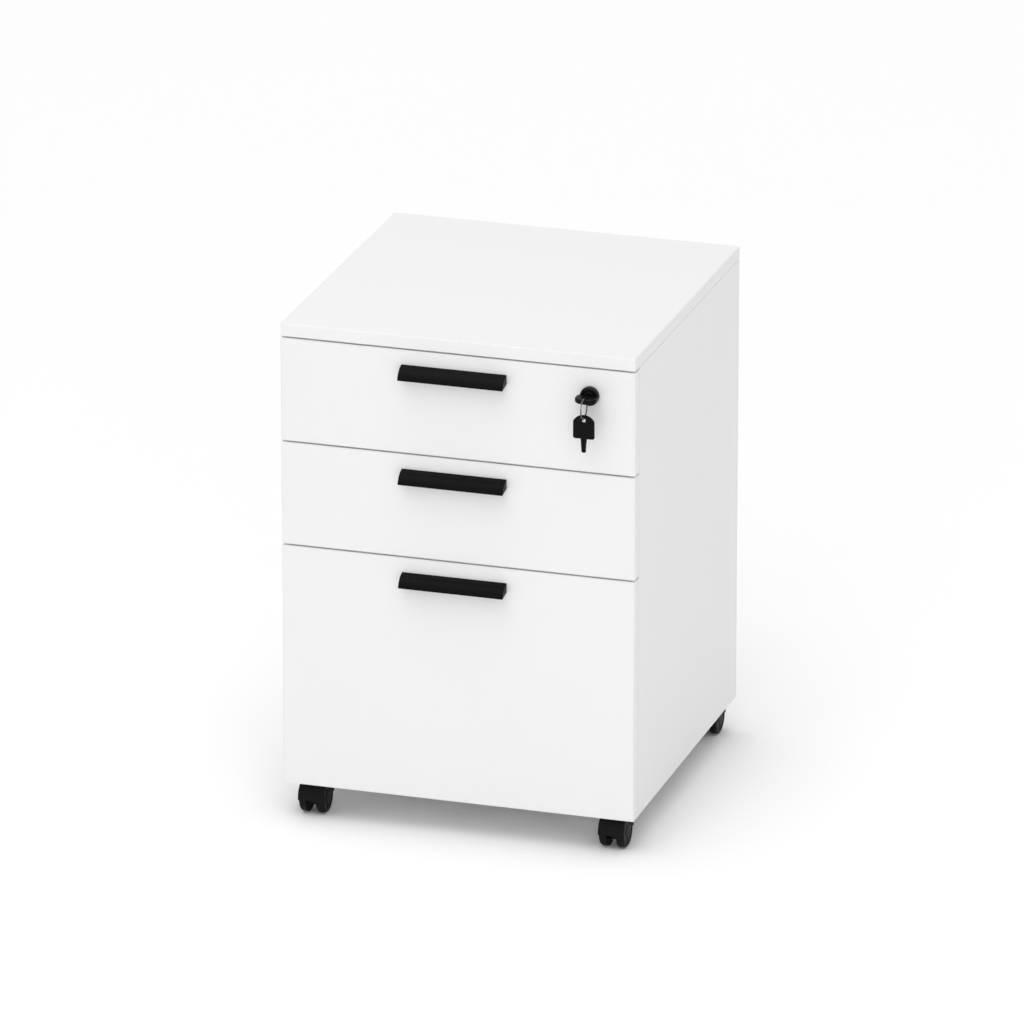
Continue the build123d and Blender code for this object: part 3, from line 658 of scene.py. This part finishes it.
# the key in the lock lies flat with its bow outwards; the spare one hangs down with its face to the front
keyLow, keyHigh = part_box("key")
spareLow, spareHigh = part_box("spare_key")
keyMiddle = (keyLow + keyHigh) / 2
shoulderY = keyHigh.y - keyLook["blade"] * mm
shoulderZ = spareLow.z + keyLook["blade"] * mm
spareY = (spareLow.y + spareHigh.y) / 2


def lyingKey(x, y, z):
    return np.stack([keyMiddle.x - x * mm, shoulderY - y * mm, keyMiddle.z + z * mm], axis=-1)


def hangingKey(x, y, z):
    return np.stack([keyMiddle.x + x * mm, spareY - z * mm, shoulderZ + y * mm], axis=-1)


lockKeyLength, lockKeyThickness = (shoulderY - keyLow.y) / mm, (keyHigh.z - keyLow.z) / mm
spareLength = (spareHigh.z - shoulderZ) / mm
lockKey = keySurfaces(lyingKey, lockKeyLength, lockKeyThickness, lockKeyHole, keyLook)
spareKey = keySurfaces(hangingKey, spareLength, spareThickness, spareKeyHole, keyLook)
makePiece("lock_key", "key", ["key"], keyPlastic, lockKey,
          creaseAngle=keyLook["creaseAngle"])
makePiece("spare_key_piece", "spare_key", ["spare_key"], keyPlastic, spareKey,
          creaseAngle=keyLook["creaseAngle"])
print("keys made")

# split ring, in mm
ringLook = {
    "halfWire": 0.34, "halfHigh": 0.68, "wirePoints": 16,
    "wireShape": 0.6,  # 1 is an oval wire, less is squarer
    "gap": 0.03,       # half of the gap between the two turns
    "turns": 1.94, "start": 0.9,  # the start is in radians behind the top
    "crossing": 26,    # how short the stretch is in which the wire steps across
    "steps": 260,
}


# flat wire wound twice in a plane across x, the two turns side by side, with both ends cut square
def ringSurface(low, high, s):
    middle = (low + high) / 2
    radius = (high.z - low.z) / 2 - s["halfHigh"] * mm
    t = np.linspace(0, 1, s["steps"])[:, None]
    angle = 2 * math.pi * s["turns"] * t - s["start"]
    across = np.tanh((t - 0.5) * s["crossing"]) * (s["halfWire"] + s["gap"]) * mm
    a = np.linspace(0, 2 * math.pi, s["wirePoints"], endpoint=False)
    wide = np.sign(np.cos(a)) * np.abs(np.cos(a)) ** s["wireShape"] * s["halfWire"] * mm
    out = radius + np.sign(np.sin(a)) * np.abs(np.sin(a)) ** s["wireShape"] * s["halfHigh"] * mm
    return closedSurface(np.stack([middle.x + across + wide, middle.y + np.sin(angle) * out,
                                   middle.z + np.cos(angle) * out], axis=-1))


makePiece("split_ring", "key_ring", ["key_ring"], nickelWire,
          [ringSurface(*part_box("key_ring"), ringLook)])
print("ring made")

# runner balls, in mm: distances are inwards from the side panel, heights from the runner's middle, and
# first is the y of a row's first ball
ballRaces = {
    "outer": {"ball": 1.84, "away": 7.0, "height": 19.4, "first": -5.0, "web": 2.3, "lip": 9.4},
    "inner": {"ball": 2.05, "away": 8.5, "height": 14.15, "first": -178.0, "web": 5.7, "lip": 11.2},
}
cage = {"balls": 12, "spacing": 13.0, "steel": 0.5, "over": 6.0, "stations": 5, "rings": 7, "around": 12,
        "creaseAngle": 40}


# ball: circles of latitude, closed by a fan at each pole
def ballSurface(centre, radius, s):
    latitude = np.linspace(-math.pi / 2, math.pi / 2, s["rings"] + 2)[1:-1, None]
    turn = np.linspace(0, 2 * math.pi, s["around"], endpoint=False)
    grid = [np.cos(latitude) * np.cos(turn), np.cos(latitude) * np.sin(turn), np.sin(latitude) + 0 * turn]
    return closedSurface(centre + radius * np.stack(grid, axis=-1))


# one side of one race: a row of balls above and below, and a U-shaped strip whose lips run through them
def ballCageSurfaces(side, wallX, middleZ, race, s):
    places = race["first"] + s["spacing"] * np.arange(s["balls"])
    rowX = wallX - side * race["away"] * mm
    rows = (middleZ - race["height"] * mm, middleZ + race["height"] * mm)
    surfaces = [ballSurface(np.array((rowX, y * mm, z)), race["ball"] * mm, s) for z in rows for y in places]
    near, far, steel, high = race["web"], race["lip"], s["steel"], race["height"] + s["steel"] / 2
    section = np.array([(near, -high), (far, -high), (far, steel - high), (near + steel, steel - high),
                        (near + steel, high - steel), (far, high - steel), (far, high), (near, high)])
    along = np.linspace(places[0] - s["over"], places[-1] + s["over"], s["stations"])[:, None]
    across, up = section.T * mm
    strip = np.broadcast_arrays(wallX - side * across, along * mm, middleZ + up)
    return surfaces + [closedSurface(np.stack(strip, axis=-1))]


innerWalls = {-1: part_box("left_side_panel")[1].x, 1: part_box("right_side_panel")[0].x}
for drawer in drawerNames:
    runnerLow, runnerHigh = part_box(drawer + "_middle_runners")
    surfaces = []
    for race in ballRaces.values():
        for side, wallX in innerWalls.items():
            surfaces += ballCageSurfaces(side, wallX, (runnerLow.z + runnerHigh.z) / 2, race, cage)
    makePiece(drawer + "_ball_cages", drawer + "_runner_middles", [], brightZinc, surfaces,
              creaseAngle=cage["creaseAngle"])
print("ball cages made")
